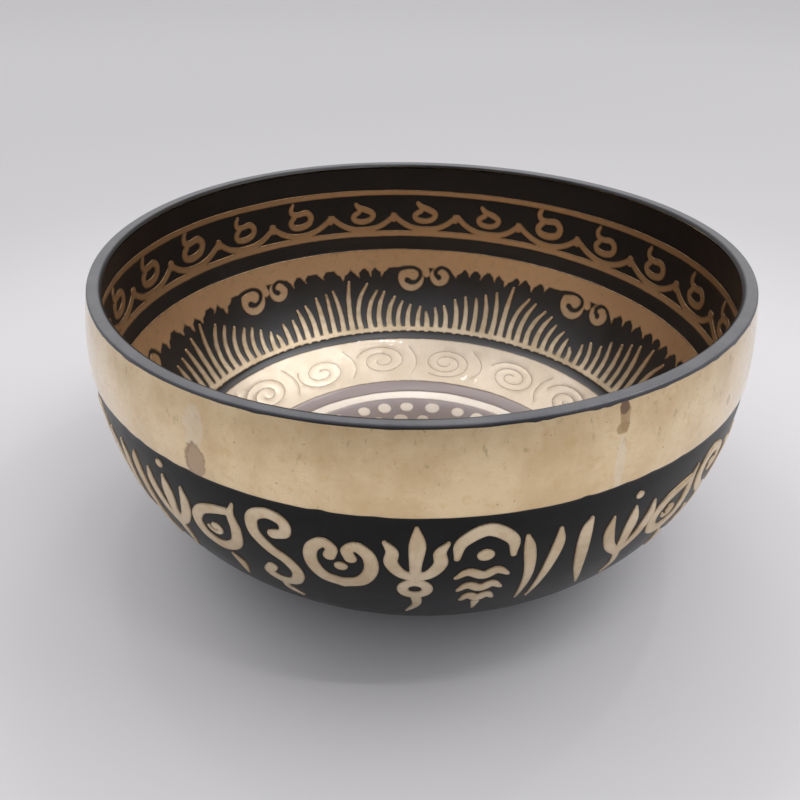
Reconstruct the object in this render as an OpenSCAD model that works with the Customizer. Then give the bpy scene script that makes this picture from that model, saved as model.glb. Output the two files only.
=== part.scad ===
// Singing bowl: one cast and turned brass bowl. Its bands of ornament are etched
// into the metal, and each etched field carries its own coat of black lacquer.
// Millimetres, +Z up, origin at the centre of the flat foot on the table.

/* [Bowl] */
// Widest outside diameter
bowl_d = 150; // [142:1:160]
// Height from the table to the top of the rim
bowl_h = 70; // [66:1:74]
// Radius of the round belly's section
belly_r = 47.5; // [46:0.5:49]
// Radius of the steeper wall's section, above the belly
wall_r = 70; // [66:0.5:76]
// Thickness of the metal wall
wall_t = 3.0; // [2.5:0.1:3.5]

/* [Etching and lacquer] */
// Depth of the etched fields below the polished metal
etch_depth = 0.6; // [0.5:0.05:0.9]
// Thickness of the lacquer coat
coat_t = 0.35; // [0.25:0.05:0.45]
// How far the coat on the rim wraps down both sides
rim_wrap = 0.7; // [0.6:0.1:1.5]
// Bevel on both edges of the rim
rim_bevel = 0.2; // [0.1:0.05:0.4]

/* [Bands inside, measured down the wall from the rim] */
// Lower edge of the plain black band under the rim
lip_end = 7.7; // [5:0.1:8.5]
// Upper edge of the field of ring loops
loop_start = 9.6; // [9.2:0.1:11]
// Lower edge of the field of ring loops
loop_end = 21.5; // [18:0.1:22]
// Upper edge of the black ring above the cloud band
upper_ring_start = 22.9; // [22.6:0.1:24]
// Lower edge of the black ring above the cloud band
upper_ring_end = 27.0; // [25:0.1:28]
// Upper edge of the field of grass blades, where the cloud band ends
grass_start = 32.3; // [30:0.1:35]
// Lower edge of the field of grass blades
grass_end = 51.9; // [48:0.1:52.5]
// Upper edge of the black ring above the spiral band
middle_ring_start = 53.6; // [53:0.1:54.4]
// Lower edge of the black ring above the spiral band
middle_ring_end = 55.9; // [55:0.1:58]
// Upper edge of the black ring below the spiral band
lower_ring_start = 71.2; // [68:0.1:72]
// Lower edge of the black ring below the spiral band
lower_ring_end = 75.0; // [73:0.1:76]
// Outer edge of the black field on the floor of the bowl
floor_field_start = 78.0; // [77:0.1:80]
// Diameter of the polished disc in the middle of the floor
centre_d = 26; // [16:1:36]

/* [Band outside, measured down the wall from the rim] */
// Lower edge of the polished band, where the black field starts
polished_end = 17.6; // [12:0.1:24]
// Width of bare metal left around the flat foot
foot_margin = 3; // [2:0.5:6]

/* [Hidden] */
$fn = 240;

brass = "#c8aa70";
lacquer = "#1c1a1d";
rim_black = "#3c404a";

// Room that a cut takes past the surface it opens
clear = 1;
// Least height of the straight side of the rim, between its bevel and the wrap line
straight_edge = 0.05;
// Length of the sides of the wedges that cut an arc to its turns
wedge_reach = 150;

// The outside is two arcs that meet tangentially: the belly rises from the edge of
// the flat foot, and the wall carries on from it to the rim. They meet along the long
// side of a 7-24-25 triangle, which gives both of them exactly the same end points.
seam_x = 24 / 25;
seam_z = 7 / 25;
belly_turn = atan2(seam_x, seam_z);
wall_centre = [bowl_d / 2 - wall_r, belly_r + (wall_r - belly_r) * seam_z];
foot_r = wall_centre.x + (wall_r - belly_r) * seam_x;
belly_centre = [foot_r, belly_r];
rim_turn = 90 + asin((bowl_h - wall_centre.y) / wall_r);

// Depths below the outside face, for the inside face and its coat
floor_of_etch = wall_t - etch_depth;
top_of_coat = floor_of_etch + coat_t;

function degrees(arc, radius) = arc / radius * 180 / PI;
function arc_length(turn, radius) = turn * PI / 180 * radius;

// Turn at a distance down from the rim, along the face that lies depth below the outside
function turn_at(distance, depth) =
    let (wall_length = arc_length(rim_turn - belly_turn, wall_r - depth))
    distance < wall_length
        ? rim_turn - degrees(distance, wall_r - depth)
        : belly_turn - degrees(distance - wall_length, belly_r - depth);

// Distance from the axis, at a height on the steep wall and a depth below the outside
function wall_x(height, depth) =
    wall_centre.x + sqrt(pow(wall_r - depth, 2) - pow(height - wall_centre.y, 2));

function direction(turn) = turn == belly_turn ? [seam_x, -seam_z] : [sin(turn), -cos(turn)];

// Section of a curved layer between two depths and two turns of one arc
module layer_section(centre, radius, depths, turns) {
    translate(centre) intersection() {
        difference() {
            circle(r = radius - depths[0]);
            circle(r = radius - depths[1]);
        }
        polygon([[0, 0], wedge_reach * direction(turns[0]), wedge_reach * direction(turns[1])]);
    }
}

// Section of a layer that runs down belly and wall alike between two turns
module band_section(depths, turns) {
    if (turns[1] > belly_turn)
        layer_section(wall_centre, wall_r, depths, [max(turns[0], belly_turn), turns[1]]);
    if (turns[0] < belly_turn)
        layer_section(belly_centre, belly_r, depths, [turns[0], min(turns[1], belly_turn)]);
}

// Turns of a band whose edges are given as distances down the inside
function inside_turns(start, end) = [turn_at(end, wall_t), turn_at(start, wall_t)];
outside_turns = [degrees(foot_margin, belly_r), turn_at(polished_end, 0)];

module below(height) {
    square([bowl_d, height]);
}

// Section of the rim above the wrap line, thinner all round by the inset
module rim_section(inset) {
    base = bowl_h - rim_wrap;
    top = bowl_h - inset;
    shoulder = max(top - rim_bevel, base + straight_edge);
    polygon([
        [wall_x(base, inset), base],
        [wall_x(shoulder, inset), shoulder],
        [wall_x(top, inset) - rim_bevel, top],
        [wall_x(top, wall_t - inset) + rim_bevel, top],
        [wall_x(shoulder, wall_t - inset), shoulder],
        [wall_x(base, wall_t - inset), base]
    ]);
}

// Space etched out of the inside, or the coat in it, by the depths asked for
module inside_section(start, end, depths) {
    intersection() {
        band_section(depths, inside_turns(start, end));
        below(bowl_h - rim_wrap);
    }
}

module floor_section(depths) {
    band_section(depths, [0, turn_at(floor_field_start, wall_t)]);
    translate([centre_d / 2, depths[0]])
        square([foot_r - centre_d / 2, depths[1] - depths[0]]);
}

etched = [floor_of_etch, wall_t + clear];
coated = [floor_of_etch, top_of_coat];

module inside_coat(start, end) {
    color(lacquer) rotate_extrude() inside_section(start, end, coated);
}

module bowl_shell() {
    color(brass) rotate_extrude() difference() {
        union() {
            square([foot_r, wall_t]);
            intersection() {
                band_section([0, wall_t], [0, rim_turn]);
                below(bowl_h - rim_wrap);
            }
            rim_section(coat_t);
        }
        inside_section(0, lip_end, etched);
        inside_section(loop_start, loop_end, etched);
        inside_section(upper_ring_start, upper_ring_end, etched);
        inside_section(grass_start, grass_end, etched);
        inside_section(middle_ring_start, middle_ring_end, etched);
        inside_section(lower_ring_start, lower_ring_end, etched);
        floor_section(etched);
        band_section([-clear, etch_depth], outside_turns);
    }
}

module rim_lacquer() {
    color(rim_black) rotate_extrude() difference() {
        rim_section(0);
        rim_section(coat_t);
    }
}

module lip_lacquer() {
    inside_coat(0, lip_end);
}

module loop_field_lacquer() {
    inside_coat(loop_start, loop_end);
}

module upper_ring_lacquer() {
    inside_coat(upper_ring_start, upper_ring_end);
}

module grass_field_lacquer() {
    inside_coat(grass_start, grass_end);
}

module middle_ring_lacquer() {
    inside_coat(middle_ring_start, middle_ring_end);
}

module lower_ring_lacquer() {
    inside_coat(lower_ring_start, lower_ring_end);
}

module floor_field_lacquer() {
    color(lacquer) rotate_extrude() floor_section(coated);
}

module outer_field_lacquer() {
    color(lacquer) rotate_extrude() band_section([etch_depth - coat_t, etch_depth], outside_turns);
}

bowl_shell();
rim_lacquer();
lip_lacquer();
loop_field_lacquer();
upper_ring_lacquer();
grass_field_lacquer();
middle_ring_lacquer();
lower_ring_lacquer();
floor_field_lacquer();
outer_field_lacquer();
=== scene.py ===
"""Singing bowl: the visual model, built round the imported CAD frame.

Lengths are in millimetres until place() turns them into metres in the row frame.
The bowl's two faces are described by three numbers: the angle round the axis, the
distance down the wall from the rim, and the lift above the polished metal.
Ornament is drawn flat, as signed distances on a grid that is unrolled round the bowl,
and then cut out, bevelled and rolled up on the wall.
"""

import math

import bmesh
import bpy
import numpy as np
from mathutils import Matrix, Vector
from mathutils.geometry import delaunay_2d_cdt


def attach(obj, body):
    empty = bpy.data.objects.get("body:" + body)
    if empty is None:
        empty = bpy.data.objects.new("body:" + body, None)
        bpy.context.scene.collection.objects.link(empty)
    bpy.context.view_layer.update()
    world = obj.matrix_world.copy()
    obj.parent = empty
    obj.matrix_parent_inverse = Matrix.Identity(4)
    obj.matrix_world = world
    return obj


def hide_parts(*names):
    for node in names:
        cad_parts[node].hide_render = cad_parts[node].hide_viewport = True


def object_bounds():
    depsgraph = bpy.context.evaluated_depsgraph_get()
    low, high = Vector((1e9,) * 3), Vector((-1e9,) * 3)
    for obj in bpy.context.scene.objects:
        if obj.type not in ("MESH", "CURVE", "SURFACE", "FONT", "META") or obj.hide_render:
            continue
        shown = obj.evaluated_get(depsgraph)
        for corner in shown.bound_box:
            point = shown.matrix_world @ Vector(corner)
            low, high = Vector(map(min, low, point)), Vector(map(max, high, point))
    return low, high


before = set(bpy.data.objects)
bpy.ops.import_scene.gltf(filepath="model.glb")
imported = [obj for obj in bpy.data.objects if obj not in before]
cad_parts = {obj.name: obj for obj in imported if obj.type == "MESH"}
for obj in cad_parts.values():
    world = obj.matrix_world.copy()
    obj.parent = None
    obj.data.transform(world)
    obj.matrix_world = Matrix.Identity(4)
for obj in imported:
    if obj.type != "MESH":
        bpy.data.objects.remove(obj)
cad_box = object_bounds()

MM = 0.001
INSIDE, OUTSIDE = -1, 1

# ---------------- the bowl's shape, as in the CAD
BOWL_R = round(cad_box[1].x / MM, 1)
BOWL_H = round(cad_box[1].z / MM, 1)
WALL_T = 3.0
BELLY_R, WALL_R = 47.5, 70.0
SEAM_X, SEAM_Z = 24 / 25, 7 / 25
SEAM_TURN = math.atan2(SEAM_X, SEAM_Z)
WALL_CX = BOWL_R - WALL_R
WALL_CZ = BELLY_R + (WALL_R - BELLY_R) * SEAM_Z
FOOT_R = WALL_CX + (WALL_R - BELLY_R) * SEAM_X
RIM_TURN = math.pi / 2 + math.asin((BOWL_H - WALL_CZ) / WALL_R)

# Bands, as distances down the wall from the rim
RIM_WRAP = 0.7
LIP_END = 7.7
LOOPS = (9.6, 21.5)
UPPER_RING = (22.9, 27.0)
GRASS = (32.3, 51.9)
MIDDLE_RING = (53.6, 55.9)
LOWER_RING = (71.2, 75.0)
FLOOR_START = 78.0
CENTRE_R = 13.0
POLISHED_END = 17.6
FOOT_MARGIN = 3.0

# Levels above and below the polished metal
ETCHED = -0.6
COAT_TOP = -0.25
BURIED = -0.42


def lengths(side):
    """Length of the steep wall, and of wall and belly together, down one face."""
    depth = 0 if side == OUTSIDE else WALL_T
    wall = (WALL_R - depth) * (RIM_TURN - SEAM_TURN)
    return wall, wall + (BELLY_R - depth) * SEAM_TURN


INSIDE_LENGTH = lengths(INSIDE)[1] + FOOT_R
OUTSIDE_LENGTH = lengths(OUTSIDE)[1] + FOOT_R
COATED_OUTSIDE_END = lengths(OUTSIDE)[1] - FOOT_MARGIN
FLOOR_END = INSIDE_LENGTH - CENTRE_R


def section(side, down, lift):
    """Distance from the axis and height of points down one face, lifted off it."""
    depth = 0 if side == OUTSIDE else WALL_T
    wall_length = lengths(side)[0]
    steep = down < wall_length
    turn = np.where(
        steep,
        RIM_TURN - down / (WALL_R - depth),
        SEAM_TURN - (down - wall_length) / (BELLY_R - depth),
    )
    level = np.maximum(-turn, 0) * (BELLY_R - depth)
    turn = np.maximum(turn, 0)
    radius = np.where(steep, WALL_R, BELLY_R) - depth + side * lift
    x = np.where(steep, WALL_CX, FOOT_R) + radius * np.sin(turn) - level
    z = np.where(steep, WALL_CZ, BELLY_R) - radius * np.cos(turn)
    return x, z


def soft_step(x):
    x = np.clip(x, 0, 1)
    return x * x * (3 - 2 * x)


def rim_rise(theta):
    """The rim of a bowl finished by hand isn't quite level."""
    once = 0.93 * np.cos(theta) + 0.30 * np.sin(theta)
    twice = 0.42 * np.cos(2 * theta) - 0.57 * np.sin(2 * theta)
    return once + twice


# How far down the rim's rise reaches
RISE_FADES_BY = 15.0
# How far the upper lines inside slip, where the slip ends and over what length it fades
LINES_SLIP, SLIP_ENDS, SLIP_FADE = 0.6, 34.0, 6.0


def roll_up(theta, x, z, down):
    """Turns a section into points in metres, with the rim's unevenness and slight oval."""
    z = z + rim_rise(theta) * soft_step(1 - down / RISE_FADES_BY)
    oval = 0.23 * np.cos(2 * theta) - 0.09 * np.sin(2 * theta) - 0.11 * np.sin(3 * theta)
    x = x * (1 + oval / BOWL_R)
    return np.stack([x * np.cos(theta), x * np.sin(theta), z], -1) * MM


def place(side, theta, down, lift):
    """Points in metres. The upper bands inside also slip a little, as if scribed by eye."""
    theta, down, lift = np.broadcast_arrays(theta, down, lift)
    slip = 0
    if side == INSIDE:
        upper = soft_step(down / SLIP_FADE) * soft_step((SLIP_ENDS - down) / SLIP_FADE)
        slip = LINES_SLIP * np.cos(theta) * upper
    return roll_up(theta, *section(side, down + slip, lift), down)


def unevenness(theta, down, size):
    """A slow ripple in a surface that was worked by hand."""
    return size * (
        np.sin(5 * theta + 0.31 * down)
        + np.sin(11 * theta - 0.47 * down + 1.7)
        + np.sin(23 * theta + 0.83 * down + 0.6)
    ) / 3


EDGE_STRAY = 0.14
STRAY_WAVES = [2, 3, 5, 8, 13, 21, 34, 55, 89]


def hand_line(theta, size, seed):
    """How far a line cut by hand strays from its true place."""
    rng = np.random.default_rng(seed)
    phases = rng.uniform(0, math.tau, len(STRAY_WAVES))
    stray = sum(np.sin(n * theta + p) / n**0.45 for n, p in zip(STRAY_WAVES, phases))
    return size * stray / 2


# ---------------- mesh making
def add_stain_and_shade(mesh, values):
    """Says how dark the metal or lacquer is made at each point: stain, and painted shade on edges."""
    mesh.attributes.new("stain_and_shade", "FLOAT", "POINT").data.foreach_set("value", values)


def finish_mesh(name, mesh, material, smooth_angle=40):
    """Welds, turns the faces outwards, smooths and puts the piece on the bowl."""
    work = bmesh.new()
    work.from_mesh(mesh)
    bmesh.ops.remove_doubles(work, verts=work.verts, dist=1e-7)
    unused = [vertex for vertex in work.verts if not vertex.link_faces]
    bmesh.ops.delete(work, geom=unused, context="VERTS")
    bmesh.ops.recalc_face_normals(work, faces=work.faces)
    work.to_mesh(mesh)
    work.free()
    mesh.shade_smooth()
    mesh.set_sharp_from_angle(angle=math.radians(smooth_angle))
    mesh.materials.append(material)
    piece = bpy.data.objects.new(name, mesh)
    bpy.context.scene.collection.objects.link(piece)
    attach(piece, "root")
    return piece


def lathe(name, rows, material, poles=False, stain_and_shade_amount=()):
    """A solid turned from rows of points round the axis. Its section closes on itself,
    or ends on the axis at both ends. Values that darken it, as painted shade, come as a
    row for each first row."""
    points = np.stack(rows)
    count, columns = points.shape[:2]
    index = np.arange(count * columns).reshape(count, columns)
    upper, lower = (index[:-1], index[1:]) if poles else (index, np.roll(index, -1, axis=0))
    quads = np.stack([upper, np.roll(upper, -1, 1), np.roll(lower, -1, 1), lower], -1)
    faces = quads.reshape(-1, 4).tolist()
    vertices = points.reshape(-1, 3)
    if poles:
        for row in (index[0], index[-1]):
            faces += [[len(vertices), row[i], row[i - 1]] for i in range(columns)]
            centre = vertices[row].mean(0)
            vertices = np.vstack([vertices, [0, 0, centre[2]]])
    mesh = bpy.data.meshes.new(name)
    mesh.from_pydata(vertices.tolist(), [], faces)
    if len(stain_and_shade_amount):
        stain_and_shade = np.zeros(len(vertices))
        stain_and_shade[: stain_and_shade_amount.size] = stain_and_shade_amount.ravel()
        add_stain_and_shade(mesh, stain_and_shade)
    return finish_mesh(name, mesh, material)


COLUMNS = 640
AROUND = np.arange(COLUMNS) * math.tau / COLUMNS


def face_row(side, down, lift, ripple=0.0):
    """One row of a lathe: down and lift may vary round the bowl."""
    down = np.broadcast_to(down, AROUND.shape)
    return place(side, AROUND, down, lift + unevenness(AROUND, down, ripple))


def rounded_edge(side, edge, towards, bottom):
    """Rows over the edge of a polished land that falls into a recess. towards is the way
    to the recess, +1 down the wall or -1 up it."""
    shape = [(-0.5, 0), (-0.22, -0.02), (-0.08, -0.07), (0, -0.16), (0.02, bottom)]
    return [face_row(side, edge + towards * x, lift) for x, lift in shape]


def even_rows(side, start, end, lift, step, ripple=0.0):
    count = max(2, round(float(np.mean(np.abs(end - start))) / step))
    return [face_row(side, d, lift, ripple) for d in np.linspace(start, end, count)]


# ---------------- drawing with signed distances
# A distance for where nothing is drawn, and the fillet where two shapes join
FAR_OUTSIDE = 3.0
BLEND = 0.25


def curve(*knots):
    """A smooth path through given knots: across, down and the brush's radius."""
    knots = np.array(knots, float)
    ends = np.vstack([2 * knots[0] - knots[1], knots, 2 * knots[-1] - knots[-2]])
    t = np.linspace(0, 1, 7, endpoint=False)[:, None]
    legs = []
    for a, b, c, d in zip(ends, ends[1:], ends[2:], ends[3:]):
        legs.append(
            b + t * (c - a) / 2
            + t**2 * (a - 2.5 * b + 2 * c - d / 2)
            + t**3 * (-a / 2 + 1.5 * b - 1.5 * c + d / 2)
        )
    return np.vstack(legs + [knots[-1:]])


def volute(centre, start, end, first_turn, turns, brush=(1.0, 0.6), squash=1.0):
    """A spiral path. start and end are its radii, turns are counted clockwise on the
    wall if positive, and squash flattens it downwards."""
    t = np.linspace(0, 1, max(8, int(26 * abs(turns))))
    angle = math.radians(first_turn) + math.tau * turns * t
    radius = start + (end - start) * t
    return np.stack([
        centre[0] + radius * np.cos(angle),
        centre[1] + squash * radius * np.sin(angle),
        brush[0] + (brush[1] - brush[0]) * t,
    ], -1)


class Drawing:
    """A flat drawing that goes right round the bowl, held as distances to its edge."""

    def __init__(self, side, top, bottom, start=0.0, grid=0.3):
        self.side, self.top, self.start, self.grid = side, top, math.radians(start), grid
        self.radius = float(section(side, np.array((top + bottom) / 2), 0)[0])
        self.around = math.tau * self.radius
        self.columns = round(self.around / grid)
        self.step = self.around / self.columns
        self.rows = round((bottom - top) / grid) + 1
        self.down = top + grid * np.arange(self.rows)[:, None]
        self.across = self.step * np.arange(self.columns)[None]
        self.field = np.full((self.rows, self.columns), FAR_OUTSIDE)

    def theta(self, across):
        """Across runs to the right as one faces the wall, inside and outside alike."""
        return self.start + self.side * np.asarray(across) / self.radius

    def window(self, low, high):
        """Rows and columns of the grid that hold a box, going on past the join."""
        first_row = max(0, math.floor((low[1] - self.top) / self.grid))
        last_row = min(self.rows, math.ceil((high[1] - self.top) / self.grid) + 1)
        columns = np.arange(math.floor(low[0] / self.step), math.ceil(high[0] / self.step) + 1)
        rows = np.arange(first_row, last_row)
        x = columns[None] * self.step
        y = self.top + rows[:, None] * self.grid
        return np.ix_(rows, columns % self.columns), x, y

    def join(self, spot, distance):
        """Joins a shape to the drawing with a small fillet, as paint runs together."""
        old = self.field[spot]
        near = np.clip(0.5 + (old - distance) / (2 * BLEND), 0, 1)
        self.field[spot] = old + (distance - old) * near - BLEND * near * (1 - near)

    def stroke(self, path, shift=(0, 0), scale=1.0):
        """Draws one brush stroke along a path of places and brush radii."""
        path = np.array(path, float) * scale + [*shift, 0]
        reach = path[:, 2].max() + 1.2
        spot, x, y = self.window(path.min(0) - reach, path.max(0) + reach)
        if spot[0].size == 0:
            return
        distance = np.full(np.broadcast(x, y).shape, FAR_OUTSIDE)
        for a, b in zip(path, path[1:]):
            leg = b - a
            length = max(leg[0] ** 2 + leg[1] ** 2, 1e-9)
            t = np.clip(((x - a[0]) * leg[0] + (y - a[1]) * leg[1]) / length, 0, 1)
            gap = np.hypot(x - a[0] - t * leg[0], y - a[1] - t * leg[1])
            distance = np.minimum(distance, gap - a[2] - t * leg[2])
        self.join(spot, distance)

    def dot(self, across, down, radius):
        self.stroke([(across, down, radius), (across + 0.01, down, radius)])

    def strip(self, upper, lower):
        """A band between two edges, which may be numbers or lines round the bowl."""
        distance = np.maximum(upper - self.down, self.down - lower)
        self.field = np.minimum(self.field, np.broadcast_to(distance, self.field.shape))

    def bite(self, shape):
        """Takes another drawing away from this one."""
        self.field = np.maximum(self.field, -shape.field)

    def hand_edge(self, edge):
        return edge + hand_line(self.theta(self.across), EDGE_STRAY, round(10 * edge))

    def land(self, top, bottom):
        """A band of metal between two lines that are cut by hand."""
        self.strip(self.hand_edge(top), self.hand_edge(bottom))


def closed(field):
    """The field with its first column again at the end, so that it can be cut open."""
    return np.hstack([field, field[:, :1]])


# Share of a grid step that a contour's points keep from the grid's own
OFF_GRID = 0.04


def crossing(near, far):
    """How far along a step the field is zero, between its values at the two ends."""
    return np.clip(near / (near - far), OFF_GRID, 1 - OFF_GRID)


def contour(field, level):
    """Corner points, in grid steps, and edges of the line where the field has a level."""
    f = field - level
    f = np.where(np.abs(f) < 1e-6, 1e-6, f)
    inside = f < 0
    flat = inside[:, :-1] != inside[:, 1:]
    tall = inside[:-1] != inside[1:]
    number = np.cumsum(np.concatenate([flat.ravel(), tall.ravel()])) - 1
    flat_id = number[: flat.size].reshape(flat.shape)
    tall_id = number[flat.size:].reshape(tall.shape)
    row, column = np.nonzero(flat)
    along = column + crossing(f[row, column], f[row, column + 1])
    points = [np.stack([along, row], -1)]
    row, column = np.nonzero(tall)
    along = row + crossing(f[row, column], f[row + 1, column])
    points.append(np.stack([column, along], -1))
    crossed = np.stack([flat[:-1], tall[:, 1:], flat[1:], tall[:, :-1]], -1)
    ids = np.stack([flat_id[:-1], tall_id[:, 1:], flat_id[1:], tall_id[:, :-1]], -1)
    sides = crossed.sum(-1)
    order = np.argsort(~crossed[sides == 2], axis=-1, kind="stable")[:, :2]
    edges = [np.take_along_axis(ids[sides == 2], order, -1)]
    saddle = sides == 4
    top_left = inside[:-1, :-1][saddle]
    middle = (f[:-1, :-1] + f[1:, :-1] + f[:-1, 1:] + f[1:, 1:])[saddle] < 0
    around = ids[saddle]
    same = (top_left == middle)[:, None]
    edges.append(np.where(same, around[:, [0, 1]], around[:, [0, 3]]))
    edges.append(np.where(same, around[:, [2, 3]], around[:, [1, 2]]))
    return np.vstack(points), np.vstack(edges)


def look_up(field, points):
    """The field between grid points."""
    x = np.clip(points[:, 0], 0, field.shape[1] - 1.001)
    y = np.clip(points[:, 1], 0, field.shape[0] - 1.001)
    i, j = x.astype(int), y.astype(int)
    p, q = x - i, y - j
    top = field[j, i] * (1 - p) + field[j, i + 1] * p
    low = field[j + 1, i] * (1 - p) + field[j + 1, i + 1] * p
    return top * (1 - q) + low * q


def regions(faces, walls, count):
    """A number for each triangle, the same for all those that no wall parts."""
    def key(pairs):
        pairs = np.sort(pairs, -1)
        return pairs[..., 0] * count + pairs[..., 1]

    sides = key(np.stack([faces, np.roll(faces, -1, 1)], -1)).ravel()
    owner = np.repeat(np.arange(len(faces)), 3)
    free = ~np.isin(sides, key(walls))
    order = np.argsort(sides[free], kind="stable")
    sides, owner = sides[free][order], owner[free][order]
    same = np.nonzero(sides[1:] == sides[:-1])[0]
    one, two = owner[same], owner[same + 1]
    number = np.arange(len(faces))
    while True:
        lowest = np.minimum(number[one], number[two])
        after = number.copy()
        np.minimum.at(after, number[one], lowest)
        np.minimum.at(after, number[two], lowest)
        after = after[after]
        if np.array_equal(after, number):
            return number
        number = after


def triangulate(points, edges, outline, keep):
    """Triangles between the points that keep the edges. The first edges, as many as
    outline says, part what is kept, where keep is negative, from the rest."""
    vertices, sides, faces, origin, side_origin, _ = delaunay_2d_cdt(
        [Vector(p) for p in points.tolist()], edges.tolist(), [], 0, 1e-5
    )
    vertices = np.array([v[:] for v in vertices])
    faces = np.array([f for f in faces if len(f) == 3])
    source = np.array([o[0] if o else -1 for o in origin])
    walls = [side for side, own in zip(sides, side_origin) if own and min(own) < outline]
    number = regions(faces, np.array(walls), len(vertices))
    a, b, c = (vertices[faces[:, i]] for i in range(3))
    area = np.abs((b[:, 0] - a[:, 0]) * (c[:, 1] - a[:, 1])
                  - (b[:, 1] - a[:, 1]) * (c[:, 0] - a[:, 0]))
    level = np.bincount(number, area * look_up(keep, (a + b + c) / 3), len(faces))
    return vertices, faces[level[number] < 0], source


def join_sheets(top_faces, top_source, base_faces, base_source, outline):
    """Faces of two sheets that share the points of their outline, which come first in
    both. A triangle that has come out alike in both encloses nothing and goes."""
    shared = np.full(outline, -1)
    rim = (top_source >= 0) & (top_source < outline)
    shared[top_source[rim]] = np.nonzero(rim)[0]
    rim = (base_source >= 0) & (base_source < outline)
    twin = shared[np.where(rim, base_source, 0)]
    own = len(top_source) + np.arange(len(base_source))
    index = np.where(rim & (twin >= 0), twin, own)
    faces = np.vstack([top_faces, index[base_faces[:, ::-1]]])
    corners = np.sort(faces, 1)
    _, which, uses = np.unique(corners, axis=0, return_inverse=True, return_counts=True)
    return faces[uses[which.ravel()] == 1]


# Spacing in mm of the points that let a sheet bend, and how far they keep inside its
# outline and off the edges of its grooves
FILL_STEP, FILL_CLEARANCE = 1.6, 0.7


def fill_points(keep, step, others=()):
    """A staggered grid of points, a step apart and well inside what is kept, so that the
    sheet can bend. Both ends get the same points, as they join."""
    last = keep.shape[1] - 1
    rows = np.arange(0.5 * step, keep.shape[0] - 1, step)
    x, y = np.meshgrid(np.arange(0.5 * step, last - 0.6 * step, step), rows)
    x = x + 0.25 * step * (np.arange(len(rows)) % 2)[:, None]
    at_join = np.stack([0 * rows, rows], -1)
    points = np.vstack([np.stack([x.ravel(), y.ravel()], -1), at_join])
    good = look_up(keep, points) < -FILL_CLEARANCE
    for other in others:
        good &= np.abs(look_up(other, points)) > FILL_CLEARANCE
    points = points[good]
    return np.vstack([points, points[points[:, 0] == 0] + [last, 0]])


def stack_layers(layers):
    """Contour points and edges of several fields at several levels, and for each point
    what its level means: the lift there and how dark the edge is made, by stain and painted shade."""
    points, edges, meanings = [], [], []
    for field, steps in layers:
        for level, *meaning in steps:
            p, e = contour(field, level)
            edges.append(e + sum(map(len, points)))
            points.append(p)
            meanings.append(np.tile(meaning, (len(p), 1)))
    return np.vstack(points), np.vstack(edges), np.vstack(meanings)


# Level of the distance field, lift there, and darkening: stain, and painted shade on raised edges
RELIEF_STEPS = [(0.0, BURIED, 1.0), (-0.06, -0.08, 1.0), (-0.16, 0.0, 0.85), (-0.5, 0.0, 0.0)]
GROOVE_STEPS = [(0.05, 0.0, 0.0), (-0.02, -0.02, 0.4), (-0.08, -0.04, 0.6)]
NEAR_EDGE_STAIN_AND_SHADE = 0.8


def cut_out(name, drawing, material, grooves=None, swell=0.03):
    """Cuts the drawing out as a bevelled sheet of metal, rolls it up on its wall and
    closes it underneath, where it is sunk in the lacquer."""
    fields = [closed(each.field) for each in (drawing, grooves) if each]
    keep, *others = fields
    points, edges, meanings = stack_layers(zip(fields, (RELIEF_STEPS, GROOVE_STEPS)))
    inner = fill_points(keep, FILL_STEP / drawing.grid, others)
    meanings = np.vstack([meanings, np.zeros((len(inner), 2))])
    outline, rim_edges = contour(keep, RELIEF_STEPS[0][0])
    top, top_faces, source = triangulate(np.vstack([points, inner]), edges, len(rim_edges), keep)
    known = source >= 0
    depth = -look_up(keep, top)
    levels, step_lifts, _ = np.transpose(RELIEF_STEPS)
    lift, stain_and_shade = meanings[source].T
    lift = np.where(known, lift, np.interp(depth, -levels, step_lifts))
    stain_and_shade = np.where(known, stain_and_shade, NEAR_EDGE_STAIN_AND_SHADE)
    beneath = fill_points(keep, 2 * FILL_STEP / drawing.grid)
    base, base_faces, base_source = triangulate(
        np.vstack([outline, beneath]), rim_edges, len(rim_edges), keep
    )

    def rolled(flat, lift, ripple):
        across, down = flat[:, 0] * drawing.step, drawing.top + flat[:, 1] * drawing.grid
        theta = drawing.theta(across)
        return place(drawing.side, theta, down, lift + ripple * unevenness(theta, 3 * down, swell))

    upper = rolled(top, lift, np.clip(depth / 0.3, 0, 1))
    under = rolled(base, np.full(len(base), BURIED), np.zeros(len(base)))
    faces = join_sheets(top_faces, source, base_faces, base_source, len(outline))
    mesh = bpy.data.meshes.new(name)
    mesh.from_pydata(np.vstack([upper, under]).tolist(), [], faces.tolist())
    add_stain_and_shade(mesh, np.concatenate([stain_and_shade, np.ones(len(base))]))
    return finish_mesh(name, mesh, material, smooth_angle=35)


# ---------------- materials
def new_material(name):
    material = bpy.data.materials.new(name)
    material.use_nodes = True
    tree = material.node_tree
    return material, tree, tree.nodes["Principled BSDF"]


def plug(socket, value):
    """Links a value that is a socket, or sets one that is a number or a colour."""
    if isinstance(value, bpy.types.NodeSocket):
        socket.id_data.links.new(value, socket)
    elif isinstance(value, tuple) and len(value) == 3 and socket.type == "RGBA":
        socket.default_value = (*value, 1)
    else:
        socket.default_value = value


def feed(node, inputs):
    for key, value in inputs.items():
        plug(node.inputs[key], value)


def add(kind, inputs, tree=None, **settings):
    """A new node, in the tree that is given or else in the one its inputs come from."""
    trees = [value.id_data for value in inputs.values() if isinstance(value, bpy.types.NodeSocket)]
    node = (tree or trees[0]).nodes.new(kind)
    for name, value in settings.items():
        setattr(node, name, value)
    feed(node, inputs)
    return node


def maths(operation, a, b=0):
    return add("ShaderNodeMath", {0: a, 1: b}, operation=operation).outputs[0]


def times(a, b):
    return maths("MULTIPLY", a, b)


def plus(a, b):
    return maths("ADD", a, b)


def combine(x, y, z):
    return add("ShaderNodeCombineXYZ", {0: x, 1: y, 2: z}).outputs[0]


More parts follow.
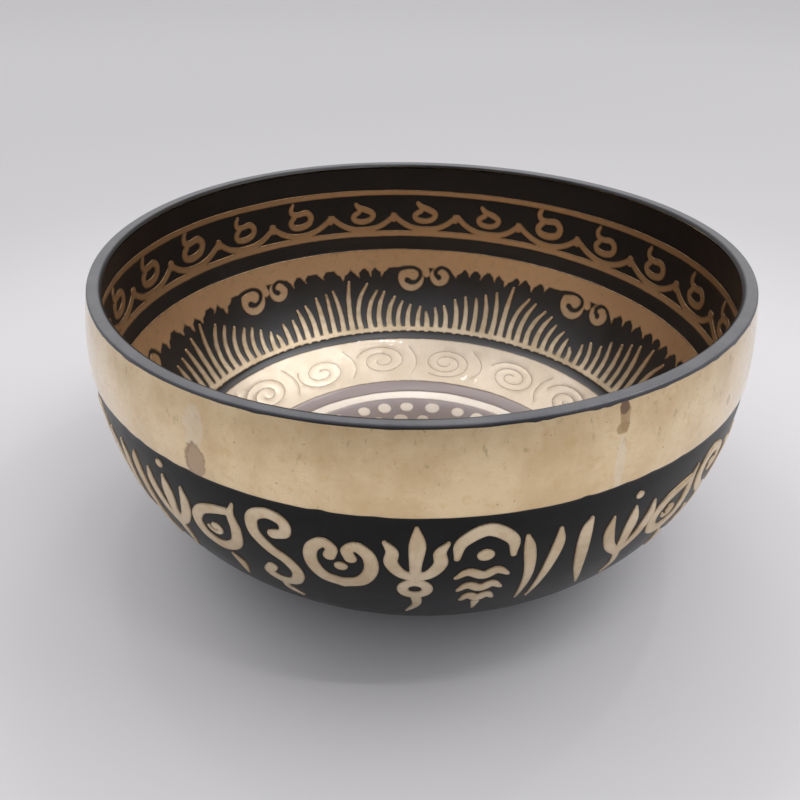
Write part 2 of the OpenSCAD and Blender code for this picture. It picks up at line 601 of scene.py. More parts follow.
def rise(value, low, high, bottom=0, top=1):
    """A smooth change from bottom to top while the value goes from low to high."""
    ends = {"Value": value, "From Min": low, "From Max": high, "To Min": bottom, "To Max": top}
    return add("ShaderNodeMapRange", ends, interpolation_type="SMOOTHSTEP").outputs["Result"]


def mix(factor, a, b):
    return add("ShaderNodeMix", {0: factor, 6: a, 7: b}, data_type="RGBA").outputs[2]


def noise(vector, scale, detail=4, rough=0.55):
    ends = {"Vector": vector, "Scale": scale, "Detail": detail, "Roughness": rough}
    return add("ShaderNodeTexNoise", ends).outputs["Fac"]


def bump(height, depth, normal=None):
    """Bump whose height of 1 stands for a depth in mm."""
    ends = {"Height": height, "Strength": 1, "Distance": depth * MM}
    if normal is not None:
        ends["Normal"] = normal
    return add("ShaderNodeBump", ends).outputs[0]


def round_coordinates(tree):
    """The surface's place in mm, and the same as turn, height and distance from the axis."""
    spot = add("ShaderNodeTexCoord", {}, tree).outputs["Object"]
    scale = {0: spot, 3: 1 / MM}
    spot = add("ShaderNodeVectorMath", scale, operation="SCALE").outputs[0]
    x, y, z = add("ShaderNodeSeparateXYZ", {0: spot}).outputs
    square = plus(times(x, x), times(y, y))
    return spot, maths("ARCTAN2", y, x), z, maths("SQRT", square)


def turning_lines(turn, z, radius, fineness):
    """Scratches that run round the bowl, as a polishing wheel leaves them."""
    along, out, up = times(turn, 4), times(radius, fineness), times(z, fineness)
    return noise(combine(along, out, up), 1, 5, 0.7)


def edge_stain_and_shade(tree):
    return add("ShaderNodeAttribute", {}, tree, attribute_name="stain_and_shade").outputs["Fac"]


def mark(turn, z, ragged, theta, down, size):
    """A stain on the outer band, round a place on it, with a ragged edge."""
    theta, height = math.radians(theta), section(OUTSIDE, np.array(down), 0)[1]
    height = float(height + rim_rise(theta) * soft_step(1 - down / RISE_FADES_BY))
    turn_on = (theta + math.pi) % math.tau - math.pi
    across = times(maths("SUBTRACT", turn, turn_on), BOWL_R / size[0])
    along = maths("DIVIDE", maths("SUBTRACT", z, height), size[1])
    square = plus(times(across, across), times(along, along))
    reach = plus(maths("SQRT", square), ragged)
    return rise(reach, 1.12, 0.88)


# Marks on the outer band: degrees round, mm down, half width and height, colour, strength
PALE_STREAK, STAIN, STAIN_EDGE = (0.84, 0.74, 0.62), (0.46, 0.32, 0.19), (0.24, 0.13, 0.06)
MARKS = [
    (239, 8.2, (2.2, 4.6), PALE_STREAK, 0.35),
    (239, 14.9, (2.4, 3.6), STAIN_EDGE, 0.8),
    (239.2, 15.3, (1.9, 3.2), STAIN, 0.9),
    (298, 12, (1, 5.6), PALE_STREAK, 0.4),
    (298.2, 3, (1.05, 3.1), (0.40, 0.24, 0.11), 0.75),
    (298.1, 1.6, (0.95, 1.7), (0.14, 0.07, 0.04), 0.8),
    (297.9, 5.3, (1.25, 1.1), (0.42, 0.27, 0.12), 0.8),
    (322, 11, (0.9, 1), (0.38, 0.25, 0.12), 0.7),
]
BROWN = (0.30, 0.19, 0.09)


def brass(name, bright, dull, rough, marks=(), tones=(), grain=0.02, dents=0.25, specks=0.5,
          stain_and_shade_amount=0.5, warmth=0.55, wax=(0, 0.03)):
    """Brass with cloudy tarnish, pits, wheel marks and darker etched edges. Each tone
    takes over by its share while the height in mm goes from low to high. Wax, with a
    weight and a roughness, is what polishing left on it."""
    material, tree, shader = new_material(name)
    spot, turn, z, radius = round_coordinates(tree)
    cloudy = noise(spot, 0.09, 6, 0.6)
    mottled = noise(spot, 0.45, 5, 0.65)
    fine = noise(spot, 3.1, 3, 0.6)
    lines = turning_lines(turn, z, radius, 7)
    colour = mix(rise(cloudy, 0.38, 0.68), bright, dull)
    # Tones by height, where given, are painted reflection: darker where the inside wall reflects the
    # bowl's dark inside.
    for low, high, tone, share in tones:
        colour = mix(rise(z, low, high, 0, share), colour, tone)
    warm = tuple(c * k for c, k in zip(dull, (0.97, 0.88, 0.72)))
    colour = mix(rise(mottled, 0.50, 0.74, 0, warmth), colour, warm)
    pits = rise(noise(spot, 0.8, 3, 0.7), 0.67, 0.74, 0, specks)
    colour = mix(pits, colour, BROWN)
    colour = mix(rise(fine, 0.60, 0.78, 0, 0.35), colour, BROWN)
    if marks:
        runs = combine(times(turn, 45), 0, times(z, 0.3))
        drips = rise(noise(runs, 1, 3, 0.6), 0.59, 0.72, 0, 0.5)
        drips = times(drips, rise(z, BOWL_H - 13, BOWL_H - 5))
        colour = mix(drips, colour, (0.30, 0.22, 0.09))
    for theta, down, size, stain_colour, strength in marks:
        ragged = times(maths("SUBTRACT", mottled, 0.5), 1.1)
        spread = mark(turn, z, ragged, theta, down, size)
        colour = mix(times(spread, strength), colour, stain_colour)
    # Darkened edges: in grooves a stain, on raised edges partly a stain and partly painted shade
    # along the etched wall.
    edge = times(edge_stain_and_shade(tree), rise(mottled, 0.3, 0.6, 0.5 * stain_and_shade_amount, stain_and_shade_amount))
    colour = mix(edge, colour, (0.16, 0.09, 0.045))
    uneven = plus(times(cloudy, 0.22), times(lines, 0.14))
    uneven = plus(uneven, times(pits, 0.3))
    slow = bump(noise(spot, 0.05, 2, 0.4), dents)
    scratched = bump(lines, grain, slow)
    pitted = maths("SUBTRACT", fine, times(pits, 1.5))
    feed(shader, {
        "Base Color": colour, "Metallic": 1, "Roughness": plus(uneven, rough - 0.18),
        "Coat Weight": wax[0], "Coat Roughness": wax[1],
        "Normal": bump(pitted, 0.6 * grain, scratched),
    })
    return material


def lacquer(name, deep, paler_tone, rough, low_shine, high_shine, low_tone=None, peel=0.02, dust=0.3):
    """Baked lacquer with faint clouds, brush marks, orange peel and specks of dust. Its
    shine may change with height, and low down its colour may turn lighter and partly metallic."""
    material, tree, shader = new_material(name)
    spot, turn, z, radius = round_coordinates(tree)
    cloudy = noise(spot, 0.12, 5, 0.6)
    lines = turning_lines(turn, z, radius, 2.4)
    colour = mix(rise(cloudy, 0.35, 0.75), deep, paler_tone)
    if low_tone:
        colour = mix(rise(z, 19, 7), colour, low_tone)
        feed(shader, {"Metallic": rise(z, 14, 8, 0, 0.4)})
    # Painted shade: where the mesh carries darkening, on the rim's bevels, the lacquer is painted
    # near black and loses shine.
    edge = edge_stain_and_shade(tree)
    colour = mix(edge, colour, (0.010, 0.007, 0.006))
    speck = rise(noise(spot, 1.9, 2, 0.5), 0.72, 0.8, 0, dust)
    colour = mix(speck, colour, (0.16, 0.13, 0.11))
    uneven = plus(times(cloudy, 0.2), times(lines, 0.1))
    shine = rise(z, 24, 58, low_shine, high_shine)
    shine = maths("SUBTRACT", shine, times(edge, 0.8 * high_shine))
    orange_peel = bump(noise(spot, 0.55, 3, 0.5), peel)
    feed(shader, {
        "Base Color": colour, "Roughness": plus(uneven, rough - 0.15),
        "Specular IOR Level": shine, "Normal": bump(lines, 0.4 * peel, orange_peel),
    })
    return material


COPPERY, SHADED_BROWN = (0.83, 0.54, 0.31), (0.46, 0.29, 0.16)
POLISHED = brass(
    "polished_brass", (0.83, 0.645, 0.385), (0.71, 0.515, 0.28), 0.30, MARKS, specks=0.7,
    wax=(1, 0.2),
)
# Painted reflection: the worked brass inside turns warmer and darker higher up the wall, where it
# reflects the dark inside.
WORKED = brass(
    "worked_brass", (0.80, 0.65, 0.47), (0.64, 0.51, 0.35), 0.46, stain_and_shade_amount=0.8,
    tones=[(22, 38, COPPERY, 0.85), (41, 52, SHADED_BROWN, 0.8)],
)
PALE = brass(
    "pale_brass", (0.81, 0.69, 0.55), (0.77, 0.645, 0.495), 0.48, dents=0.06, specks=0.3,
    stain_and_shade_amount=0.7, warmth=0.25, wax=(0.6, 0.04),
)
# Painted highlight: the floor's ring and dots get a near-white copy of the brass, for the bright
# light they reflect.
FLOOR_BRASS = brass(
    "floor_brass", (0.99, 0.91, 0.82), (0.95, 0.86, 0.76), 0.42, dents=0.06, specks=0.2,
    stain_and_shade_amount=0.3, warmth=0.1,
)
SANDY = brass("sandy_brass", (0.80, 0.66, 0.47), (0.66, 0.51, 0.33), 0.42, grain=0.05, stain_and_shade_amount=0.35)
BLACK = lacquer("black_lacquer", (0.003, 0.0028, 0.003), (0.008, 0.007, 0.007), 0.34, 0.17, 0.17)
INNER_BLACK = lacquer(
    "inner_lacquer", (0.007, 0.006, 0.006), (0.013, 0.010, 0.010), 0.36, 1, 0.3,
    low_tone=(0.38, 0.315, 0.305),
)
# The rim's lacquer is a lighter blue-grey, and its bevels are painted near black as painted shade.
RIM_BLACK = lacquer("rim_lacquer", (0.050, 0.053, 0.065), (0.095, 0.097, 0.110), 0.34, 0.9, 0.9)


# ---------------- camera, floor and light
def camera():
    data = bpy.data.cameras.new("camera")
    data.sensor_width, data.lens = 36, 37.44
    data.clip_start, data.clip_end = 0.01, 20
    ahead = Vector((-0.0185, 0.8518, -0.5236)).normalized()
    level = ahead.cross(Vector((0, 0, 1))).normalized()
    tilt = Matrix.Rotation(math.radians(-0.75), 3, ahead)
    right = tilt @ level
    up = right.cross(ahead)
    eye = bpy.data.objects.new("camera", data)
    eye.matrix_world = Matrix.Translation((0, -0.18199, 0.14103)) @ Matrix(
        (right, up, -ahead)
    ).transposed().to_4x4()
    bpy.context.scene.collection.objects.link(eye)
    bpy.context.scene.camera = eye


def floor():
    material, tree, shader = new_material("pale_floor")
    spot = add("ShaderNodeTexCoord", {}, tree).outputs["Object"]
    colour = mix(noise(spot, 4, 3), (0.71, 0.695, 0.72), (0.76, 0.75, 0.77))
    away = add("ShaderNodeVectorMath", {0: spot}, operation="LENGTH").outputs["Value"]
    # Painted shade: the floor is darker in a ring 0.13 to 0.3 m out and lighter again past 0.35 m,
    # for the backdrop's shading.
    colour = mix(rise(away, 0.13, 0.3), colour, (0.62, 0.61, 0.63))
    colour = mix(rise(away, 0.35, 0.85), colour, (0.69, 0.68, 0.70))
    feed(shader, {"Base Color": colour, "Roughness": 0.9})
    mesh = bpy.data.meshes.new("floor")
    work = bmesh.new()
    bmesh.ops.create_circle(work, cap_ends=True, radius=3, segments=96)
    work.to_mesh(mesh)
    work.free()
    mesh.materials.append(material)
    ground = bpy.data.objects.new("floor", mesh)
    bpy.context.scene.collection.objects.link(ground)


# Where every lamp points, and the height of the small ones, which make the glints
LIT_POINT = Vector((0, 0, 0.02))
LAMP_Z = 0.42


def softbox(name, width, height, place_at, power):
    data = bpy.data.lights.new(name, "AREA")
    data.shape = "RECTANGLE"
    data.size, data.size_y, data.energy = width, height, power
    lamp = bpy.data.objects.new(name, data)
    lamp.location = place_at
    lamp.rotation_euler = (LIT_POINT - Vector(place_at)).to_track_quat("-Z", "Y").to_euler()
    bpy.context.scene.collection.objects.link(lamp)


def surroundings():
    """A pale tent: bright above, duller low down, brightest at the back and darkest on
    the side it opens, with two rows of lamps, and a spot and a softbox on either side."""
    world = bpy.data.worlds.new("tent")
    world.use_nodes = True
    bpy.context.scene.world = world
    tree = world.node_tree
    look = add("ShaderNodeTexCoord", {}, tree).outputs["Generated"]
    x, y, z = add("ShaderNodeSeparateXYZ", {0: look}).outputs
    colour = mix(rise(z, 0, 0.95), (0.56, 0.555, 0.57), (0.90, 0.90, 0.92))
    opening = times(rise(y, -0.45, -0.95), rise(z, 0.75, 0.2))
    colour = mix(opening, colour, (0.11, 0.085, 0.07))
    band = times(rise(z, 0.1, 0.4), rise(z, 1.05, 0.8))
    window = times(rise(y, 0.15, 0.75), band)
    colour = mix(window, colour, (1.5, 1.48, 1.45))
    feed(tree.nodes["Background"], {"Color": colour, "Strength": 0.79})
    for n in range(8):
        softbox(f"front_lamp_{n}", 0.006, 0.006, (0.04 + 0.017 * n, -0.145, LAMP_Z), 0.016)
        softbox(f"back_lamp_{n}", 0.004, 0.004, (-0.01 + 0.007 * n, 0.17, LAMP_Z), 0.007)
    softbox("spot_left", 0.01, 0.01, (0.165, 0.09, LAMP_Z), 0.06)
    softbox("spot_right", 0.02, 0.006, (-0.084, 0.08, LAMP_Z), 0.05)
    softbox("left", 0.5, 0.5, (-0.5, 0.15, 0.8), 0.9)
    softbox("right", 0.5, 0.5, (0.6, 0.05, 0.75), 1.8)
    bpy.context.scene.view_settings.view_transform = "Standard"


# ---------------- the bowl and its lacquer
# Every lacquer field: its piece, its CAD node, its face and its two edges
FIELDS = [
    ("lip_coat", "lip_lacquer", INSIDE, RIM_WRAP, LIP_END),
    ("loop_field_coat", "loop_field_lacquer", INSIDE, *LOOPS),
    ("upper_ring_coat", "upper_ring_lacquer", INSIDE, *UPPER_RING),
    ("grass_field_coat", "grass_field_lacquer", INSIDE, *GRASS),
    ("middle_ring_coat", "middle_ring_lacquer", INSIDE, *MIDDLE_RING),
    ("lower_ring_coat", "lower_ring_lacquer", INSIDE, *LOWER_RING),
    ("floor_field_coat", "floor_field_lacquer", INSIDE, FLOOR_START, FLOOR_END),
    ("outer_field_coat", "outer_field_lacquer", OUTSIDE, POLISHED_END, COATED_OUTSIDE_END),
]
# The lands between the inside fields are left low, under lines and ornament of their own
UNDER_ORNAMENT = -0.25


def chips(seed, depth):
    """Small nicks in an edge, here and there round the bowl."""
    rng = np.random.default_rng(seed)
    nicks = 0 * AROUND
    for place_round in rng.uniform(0, math.tau, 70):
        gap = np.abs((AROUND - place_round + math.pi) % math.tau - math.pi) * BOWL_R
        nicks = np.maximum(nicks, rng.uniform(0.1, 1) * np.exp(-((gap / rng.uniform(0.6, 1.6)) ** 2)))
    return depth * nicks


def scribed(edge):
    """A field's edge all round the bowl, as far as a hand keeps to it. The edge of the
    outer field is chipped and wanders more than the others."""
    if edge == RIM_WRAP:
        return edge + 0 * AROUND
    line = edge + hand_line(AROUND, EDGE_STRAY, round(10 * edge))
    if edge == POLISHED_END:
        line -= chips(17, 0.3)
        line -= 0.33 * np.cos(AROUND) - 0.48 * np.sin(2 * AROUND) - 0.73 * np.sin(3 * AROUND)
    return line


def hump(middle, width):
    """A smooth hump of height 1 at a place round the bowl, both in degrees."""
    return np.exp(-(((np.degrees(AROUND) - middle) / width) ** 2))


def rim_row(side, below, inset):
    """A row near the rim: below its top, and set into the metal from the wall's face."""
    radius = WALL_R if side == OUTSIDE else WALL_R - WALL_T
    z = BOWL_H - below + np.zeros(COLUMNS)
    x = WALL_CX + np.sqrt(radius**2 - (z - WALL_CZ) ** 2) - side * inset
    return roll_up(AROUND, x, z, 0)


# How far below the rim's top and how deep its bevel is, and where the metal under it ends
RIM_BEVEL = [(0.36, 0.0), (0.2, 0.03), (0.09, 0.1), (0.03, 0.2), (0.0, 0.4)]
TONGUE_TOP = 0.5


def rim_coat():
    """The coat on the rim. The file took most off its inner corner in front, and least
    behind. Both edges are painted dark, as painted shade on the bevels that turn from the
    light: the outer one most in front, the inner one least behind."""
    filed = 0.75 + 0.1 * np.cos(3 * AROUND) + 0.65 * hump(265, 25) - 0.6 * hump(72, 30)
    ragged = hand_line(AROUND, 0.08, 7) + chips(7, 0.28)
    low = RIM_WRAP + ragged
    rows = [rim_row(OUTSIDE, low + 0.03, 0.2), rim_row(OUTSIDE, low, 0.0)]
    rows += [rim_row(OUTSIDE, low - 0.08, -0.03), rim_row(OUTSIDE, 0.6 * low, -0.03)]
    rows += [rim_row(OUTSIDE, below, inset) for below, inset in RIM_BEVEL]
    rows += [rim_row(OUTSIDE, 0.02, 0.8)]
    for below, inset in reversed(RIM_BEVEL):
        rows.append(rim_row(INSIDE, below, inset + filed * (1 - below / RIM_WRAP)))
    rows += [rim_row(INSIDE, RIM_WRAP, 0.0), rim_row(INSIDE, RIM_WRAP + 0.1, 0.35)]
    rows += [rim_row(INSIDE, TONGUE_TOP + 0.1, 1.7), rim_row(OUTSIDE, TONGUE_TOP + 0.1, 0.5)]
    # Painted shade: how dark each bevel row is painted, the outer bevel most in front, the inner
    # least behind.
    outer = np.outer([1, 1, 1, 0.85, 0.5, 0.1, 0, 0, 0, 0, 0], 0.3 + 0.6 * hump(268, 32))
    inner = np.outer([0.2, 0.6, 0.9, 1, 1, 1], 1 - 0.7 * hump(75, 38))
    piece = lathe("rim_coat", rows, RIM_BLACK, stain_and_shade_amount=np.vstack([outer, inner]))
    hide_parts("rim_lacquer")


# Distance in from a coat's edge, and the lift of the lacquer that clings to the metal there
MENISCUS = [(-0.1, -0.12), (0.1, -0.17), (0.35, -0.22)]


def coat(name, node, side, start, end):
    start, end = scribed(start), scribed(end)
    rows = [face_row(side, start + x, lift) for x, lift in MENISCUS]
    rows += even_rows(side, start + 0.7, end - 0.7, COAT_TOP, 1.8, 0.03)
    rows += [face_row(side, end - x, lift) for x, lift in reversed(MENISCUS)]
    rows += even_rows(side, end, start, ETCHED + 0.02, 5)
    piece = lathe(name, rows, BLACK if side == OUTSIDE else INNER_BLACK)
    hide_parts(node)


def recess(side, start, end):
    return even_rows(side, start + 0.3, end - 0.3, ETCHED, 5)


def body():
    """The metal, from the middle of the foot up the outside, over the rim and down."""
    foot, polished = scribed(COATED_OUTSIDE_END), scribed(POLISHED_END)
    rows = even_rows(OUTSIDE, OUTSIDE_LENGTH - 3, COATED_OUTSIDE_END + 0.8, 0, 4)
    rows += rounded_edge(OUTSIDE, foot, -1, ETCHED)
    rows += recess(OUTSIDE, foot, polished)
    rows += reversed(rounded_edge(OUTSIDE, polished, 1, ETCHED))
    rows += even_rows(OUTSIDE, polished - 0.8, RIM_WRAP + 0.4, 0, 1.2)
    rows += [rim_row(OUTSIDE, TONGUE_TOP, 0.0), rim_row(INSIDE, TONGUE_TOP, 1.6)]
    inside = [field for field in FIELDS if field[2] == INSIDE]
    for this, after in zip(inside, inside[1:]):
        start, end, resume = scribed(this[3]), scribed(this[4]), scribed(after[3])
        rows += recess(INSIDE, start, end)
        rows += even_rows(INSIDE, end, resume, UNDER_ORNAMENT, 3)
    rows += recess(INSIDE, scribed(FLOOR_START), scribed(FLOOR_END))
    rows += even_rows(INSIDE, FLOOR_END, INSIDE_LENGTH - 1, UNDER_ORNAMENT, 3)
    piece = lathe("bowl_body", rows, POLISHED, poles=True)
    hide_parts("bowl_shell")


# ---------------- the ornament
# How many loops, pairs of curls (each with a tuft of grass) and spirals go round
LOOP_COUNT, CURL_COUNT, SPIRAL_COUNT = 24, 8, 16

# Loops for the upper frieze: a ring with a tail, and a plumper one with a short flag
LOOP = curve(
    (-2.6, 9.7, 0.7), (-3.3, 11.2, 0.95), (-2.8, 12.7, 1), (-1, 13.2, 1), (1.9, 12.9, 1.1),
    (3.5, 14.4, 1.15), (2.8, 16.6, 1.15), (0.1, 17.6, 1.15), (-2.6, 17.2, 1.1), (-3.5, 15.6, 1.05),
    (-2.3, 13.9, 1),
)
FLAG_LOOP = curve(
    (-2.7, 10.9, 0.9), (-1.4, 12.3, 1.2), (1.3, 13.3, 1.25), (3.7, 14.8, 1.2), (2.9, 16.8, 1.15),
    (0, 17.7, 1.15), (-2.9, 17.1, 1.15), (-3.7, 15.5, 1.1), (-1.6, 13.9, 1.1),
)
SWAG_TOP, SWAG_BOTTOM, SWAG_BRUSH = 16.2, 20.5, 0.95


def loops():
    """A row of loops, each in a swag of its own, over the line that borders them."""
    drawing = Drawing(INSIDE, 8.8, 23.6, start=180)
    rng = np.random.default_rng(24)
    pitch = drawing.around / LOOP_COUNT
    reach = np.linspace(-0.5, 0.5, 25)
    for n in range(LOOP_COUNT):
        turn = drawing.theta(n * pitch)
        slip = 1.9 + 2 * math.cos(turn) + 1.1 * math.sin(2 * turn)
        middle = n * pitch + slip + rng.uniform(-0.3, 0.3)
        flagged = n % 8 in (5, 6, 7)
        size = rng.uniform(0.80, 0.88) if flagged else rng.uniform(0.88, 1.04)
        drawing.stroke(FLAG_LOOP if flagged else LOOP, (middle, 19.4 * (1 - size)), scale=size)
        drop = (SWAG_BOTTOM - SWAG_TOP) * (1 - np.abs(2 * reach) ** rng.uniform(1.9, 2.7))
        line = [reach * (pitch + 0.6), SWAG_TOP + drop, SWAG_BRUSH + 0 * reach]
        drawing.stroke(np.stack(line, -1), (middle, 0))
        peak = [(-0.2, SWAG_TOP - 0.4, 0.6), (0.2, SWAG_TOP + 1.2, rng.uniform(0.9, 1.2))]
        drawing.stroke(peak, (middle + pitch / 2, 0))
    drawing.land(20.9, UPPER_RING[0])
    return drawing


# A curl of cloud is a disc that hangs from the band, with a gap that winds into it. The
# gaps are drawn round the disc's middle, for the large curl and for the small one.
CURL_GAP = curve(
    (-7.4, -0.8, 1), (-5.4, -1.9, 0.8), (-3.2, -3, 0.5), (0.2, -3.4, 0.42), (2.5, -2.5, 0.42),
    (3, -0.8, 0.42), (2, 0.9, 0.45), (0.3, 1.4, 0.55), (-1.2, 0.7, 0.75),
)
SMALL_CURL_GAP = curve(
    (5, 1.6, 0.9), (3.7, -0.6, 0.5), (2.2, -2.3, 0.42), (0.3, -2.8, 0.42), (-1.2, -1.7, 0.45),
    (-1.2, -0.4, 0.5), (-0.3, 0.4, 0.7),
)
CLOUD_END, TEETH_START, TEETH_MARGIN = 33, 14.4, 7.6


def clouds():
    """A band of cloud with a ragged lower edge, and eight pairs of curls on it."""
    drawing = Drawing(INSIDE, 26.4, 43, start=91.8)
    gaps = Drawing(INSIDE, 26.4, 43, start=91.8)
    rng = np.random.default_rng(8)
    drawing.strip(drawing.hand_edge(UPPER_RING[1]), 2 * drawing.hand_edge(CLOUD_END) - CLOUD_END)
    pitch = drawing.around / CURL_COUNT
    for n in range(CURL_COUNT):
        middle = n * pitch + rng.uniform(-0.6, 0.6)
        down = 36.1 + rng.uniform(-0.5, 0.2)
        second = (middle + 9.4 + rng.uniform(-0.3, 0.3), down - rng.uniform(0.1, 1.0))
        drawing.dot(middle, down, 4.35)
        drawing.dot(*second, 3.3)
        drawing.stroke([(4, 32.6, 1.7), (5, 34.9, 1.25)], (middle, 0))
        gaps.stroke(CURL_GAP, (middle, down))
        gaps.stroke(SMALL_CURL_GAP, second)
        x = TEETH_START
        while x < pitch - TEETH_MARGIN:
            size = rng.uniform(0.65, 1.25)
            lean = rng.uniform(-0.8, 0.8)
            reach = rng.uniform(2.3, 3.3) * size
            drawing.stroke(curve(
                (0, 31.7, 2.6 * size), (0, CLOUD_END - 0.4, 1.9 * size),
                (0, CLOUD_END + 0.1, 1.2 * size), (0.1 * lean, CLOUD_END + 0.9, 0.85 * size),
                (0.5 * lean, CLOUD_END + 0.7 * reach, 0.6 * size), (lean, CLOUD_END + reach, 0.3),
            ), (middle + x, 0))
            x += (3.1 + 1.3 * size) if rng.uniform() < 0.7 else rng.uniform(5.0, 7.5)
    drawing.bite(gaps)
    return drawing


def grass():
    """Blades that stand on the lower border in eight tufts. Each tuft is highest in the
    middle, and the blades on its right bend away."""
    drawing = Drawing(INSIDE, 34.6, 54.4, start=109.7)
    rng = np.random.default_rng(13)
    pitch = drawing.around / CURL_COUNT
    base = 52.6
    for n in range(CURL_COUNT):
        for blade in range(-8, 8):
            out = abs(blade) / 8
            tip = 37.6 + 10.2 * out**1.2 + rng.uniform(-0.7, 0.7) - (1.2 if blade == 0 else 0)
            lean = 3.6 * (1 - 0.9 * out) if blade > 0 else -0.9
            lean = 0.9 if blade == 0 else lean + rng.uniform(-0.5, 0.5)
            height = base - tip
            width = rng.uniform(0.88, 1.05)
            drawing.stroke(curve(
                (0, base, 1.25 * width), (-0.1 * lean, base - 0.35 * height, 1.02 * width),
                (0.25 * lean, base - 0.7 * height, 0.88 * width), (lean, tip, 0.55),
            ), (n * pitch + blade * pitch / 16 + rng.uniform(-0.2, 0.2), 0))
    drawing.land(GRASS[1], MIDDLE_RING[0])
    return drawing


def spirals():
    """The broad pale band, and the spirals engraved in it."""
    drawing = Drawing(INSIDE, 55.2, 72, start=101.5, grid=0.2)
    drawing.land(MIDDLE_RING[1], LOWER_RING[0])
    engraved = Drawing(INSIDE, 55.2, 72, start=101.5, grid=0.2)
    rng = np.random.default_rng(16)
    pitch = drawing.around / SPIRAL_COUNT
    line = (0.17, 0.17)
    for n in range(SPIRAL_COUNT):
        way = rng.choice([-1, 1])
        turns = rng.uniform(1.6, 2.5)
        centre = (n * pitch + rng.uniform(-0.8, 0.8), 63.6 + rng.uniform(-0.5, 0.5))
        first = rng.uniform(100, 260)
        engraved.stroke(volute(centre, 8.3, 1.3, first, way * turns, line, squash=0.62))
        middle = (centre[0] + pitch / 2, 63.6)
        bow = rng.uniform(1.5, 3.0) * rng.choice([-1, 1])
        engraved.stroke(curve(
            (-bow, -4.8, 0.14), (bow / 3, -1.5, 0.17), (bow / 2, 1.8, 0.17), (-bow / 2, 4.6, 0.14),
        ), middle)
    return drawing, engraved


def plain_line(top, bottom):
    """A land left bare between two fields."""
    drawing = Drawing(INSIDE, top - 0.9, bottom + 0.9)
    drawing.land(top, bottom)
    return drawing


def dots(down, count, radius, first):
    drawing = Drawing(INSIDE, down - radius - 1, down + radius + 1, start=first)
    rng = np.random.default_rng(count)
    for n in range(count):
        x = (n + rng.uniform(-0.12, 0.12)) * drawing.around / count
        size = radius * rng.uniform(0.88, 1.08)
        drawing.stroke([(x, down, size), (x + rng.uniform(0.05, 0.5), down, size)])
    return drawing


def rosette():
    """The disc in the middle of the floor, with a flower of eight petals engraved on it."""
    def lift(inward):
        out = CENTRE_R - inward
        petals = 4.4 + 6.2 * np.abs(np.cos(4 * AROUND)) ** 0.6
        grooves = 0 * AROUND
        for line in (petals, 0.62 * petals, 3, 11.7):
            grooves = np.maximum(grooves, np.exp(-(((out - line) / 0.22) ** 2)))
        return -0.13 * grooves

    edge = scribed(FLOOR_END)
    rows = [face_row(INSIDE, edge - 0.02, BURIED)]
    rows += [face_row(INSIDE, edge + x, level) for x, level in ((0, -0.16), (0.08, -0.07))]
    rows += [face_row(INSIDE, FLOOR_END + x, lift(x)) for x in np.arange(0.3, 12.6, 0.22)]
    under = even_rows(INSIDE, FLOOR_END, INSIDE_LENGTH - 0.4, BURIED, 3)
    return list(reversed(rows)) + under


# The figures of the outer frieze, drawn round x = 0: leaves, buds and scrolls
LEAF = [curve(
    (0, 22.6, 0.5), (-0.5, 25.6, 1.35), (0, 31.5, 1.45), (1.2, 38, 1.05), (3.4, 44.8, 0.3),
)]
PETAL = curve((-4.9, 24.4, 0.4), (-4.9, 28.4, 1.3), (-3.2, 33.2, 1.3), (0, 37, 1))
BUD = [
    curve((0, 23.8, 0.4), (0.2, 27.6, 1.5), (0, 32.5, 1.3), (0, 36.5, 0.9)),
    PETAL, PETAL * [-1, 1, 1],
    curve((0, 36.5, 1.1), (0.9, 41, 0.8), (0.1, 45.4, 0.3)),
    [(-0.1, 20.9, 0.95), (0.1, 20.9, 0.95)],
]
PAISLEY = [
    curve(
        (5.2, 22.6, 0.4), (4.3, 25.6, 0.95), (4.7, 29.6, 1.3), (3.6, 34, 1.4), (-0.2, 36.4, 1.4),
        (-4, 34.8, 1.4), (-5, 31, 1.35), (-3, 27.6, 1.3), (0.4, 25.9, 1.2), (4.3, 25, 0.9),
    ),
    volute((-0.4, 31.2), 0.2, 1.9, 200, 0.9, (0.9, 0.5)),
    curve((1.2, 38.6, 0.4), (2.6, 41.4, 1.1), (2.4, 45.8, 0.3)),
]
SCROLL = [
    curve(
        (0.4, 26.6, 1.25), (2.7, 25.6, 1.2), (2.6, 22.9, 1.25), (-0.4, 21.7, 1.3),
        (-3.3, 23.4, 1.35), (-3.6, 27.4, 1.35), (-1.2, 31, 1.35), (2, 33.8, 1.35),
        (3.5, 37.4, 1.35), (2.2, 41, 1.3), (-0.8, 41.9, 1.25), (-3, 39.8, 1.2),
        (-1.9, 37.4, 1.25),
    ),
    curve((-0.4, 42.6, 0.9), (-0.3, 45.4, 0.8), (2, 48.6, 0.3)),
]
HORN = curve(
    (0, 37, 1.35), (-3.5, 35.6, 1.35), (-5.4, 32, 1.3), (-5.2, 28, 1.25),
    (-3.1, 25.7, 1.2), (-1.4, 26.9, 1.1), (-1.9, 29, 1.15),
)
LYRE = [HORN, HORN * [-1, 1, 1], [(-0.1, 31.6, 1.15), (0.1, 31.6, 1.15)]]
FROND = curve(
    (0, 34, 1.1), (-2.6, 32.6, 1.25), (-4.3, 29.6, 1.3), (-4.1, 26.6, 1.15), (-5.4, 24.2, 0.45),
)
PALMETTE = [
    curve((0, 20.4, 0.4), (0.2, 24.6, 1.5), (0, 29.6, 1.2), (0, 34, 1)),
    FROND, FROND * [-1, 1, 1],
    volute((0, 37.8), 2.3, 2.3, 0, 1, (1.1, 1.1)),
    curve((0.2, 40.6, 1.1), (0.4, 44.6, 0.9), (-1.6, 49.2, 0.3)),
]
RIPPLE = curve(
    (-4.8, 1, 0.45), (-2.6, -0.7, 1.05), (0.2, 0.6, 1.15), (2.6, -0.7, 1.05), (4.8, 0.9, 0.45),
)
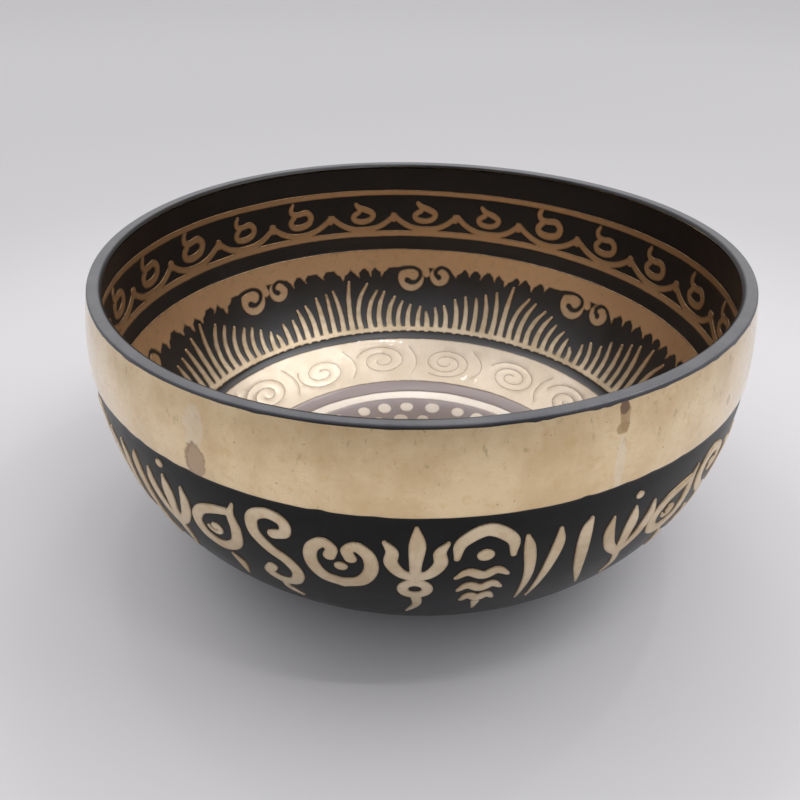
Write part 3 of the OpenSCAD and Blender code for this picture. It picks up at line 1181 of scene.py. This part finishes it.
MOON = [
    curve((-5, 28.6, 0.6), (-4.3, 24.4, 1.25), (0, 21.6, 1.45), (4.3, 24.4, 1.25), (5, 28.6, 0.6)),
    [(-0.1, 28, 1.5), (0.1, 28, 1.5)],
    RIPPLE + [0, 33.4, 0], RIPPLE * [0.85, 1, 1] + [0, 37.8, 0], RIPPLE * [0.65, 1, 1] + [0, 42, 0],
    curve((0, 44.6, 0.9), (0, 48.4, 0.3)),
]
LEAVES = [
    curve((-3.1, 23.6, 0.5), (-2.2, 27.4, 1.25), (-1.2, 35, 1.05), (-1.7, 44.6, 0.3)),
    curve((3, 23.2, 0.5), (3.2, 27.4, 1.25), (2.2, 35, 1.05), (0.6, 44.6, 0.3)),
]
# Where each figure of a repeat stands, in mm from its start
FIGURES = [
    (0, LEAF), (10.2, BUD), (22.8, PAISLEY), (35.2, SCROLL),
    (48.6, LYRE), (62, PALMETTE), (74.6, MOON), (85.4, LEAVES),
]
REPEATS = 5


def scrollwork():
    """The figures in a row round the outside, in repeats that fill it."""
    drawing = Drawing(OUTSIDE, 18.6, 51, start=223)
    rng = np.random.default_rng(5)
    repeat = drawing.around / REPEATS
    true_repeat = math.tau * BOWL_R / REPEATS
    for n in range(REPEATS):
        for x, figure in FIGURES:
            shift = (n * repeat + x * repeat / true_repeat + rng.uniform(-0.4, 0.4),
                     rng.uniform(-0.4, 0.4))
            weight = rng.uniform(0.94, 1.08)
            for path in figure:
                drawing.stroke(np.array(path) * [1, 1, weight], shift)
    return drawing


def ornament():
    cut_out("lip_line", plain_line(LIP_END, LOOPS[0]), WORKED)
    cut_out("loop_frieze", loops(), WORKED)
    cut_out("cloud_frieze", clouds(), WORKED)
    cut_out("grass_frieze", grass(), WORKED)
    band, engraved = spirals()
    cut_out("spiral_band", band, PALE, engraved, swell=0.02)
    cut_out("floor_line", plain_line(LOWER_RING[1], FLOOR_START), FLOOR_BRASS)
    cut_out("floor_dots", dots(81.6, 31, 2.1, 116.5), FLOOR_BRASS)
    cut_out("floor_dots_inner", dots(86.8, 27, 1.9, 111.0), FLOOR_BRASS)
    lathe("floor_rosette", rosette(), PALE, poles=True)
    cut_out("outer_frieze", scrollwork(), SANDY)


body()
rim_coat()
for field in FIELDS:
    coat(*field)
ornament()
camera()
floor()
surroundings()
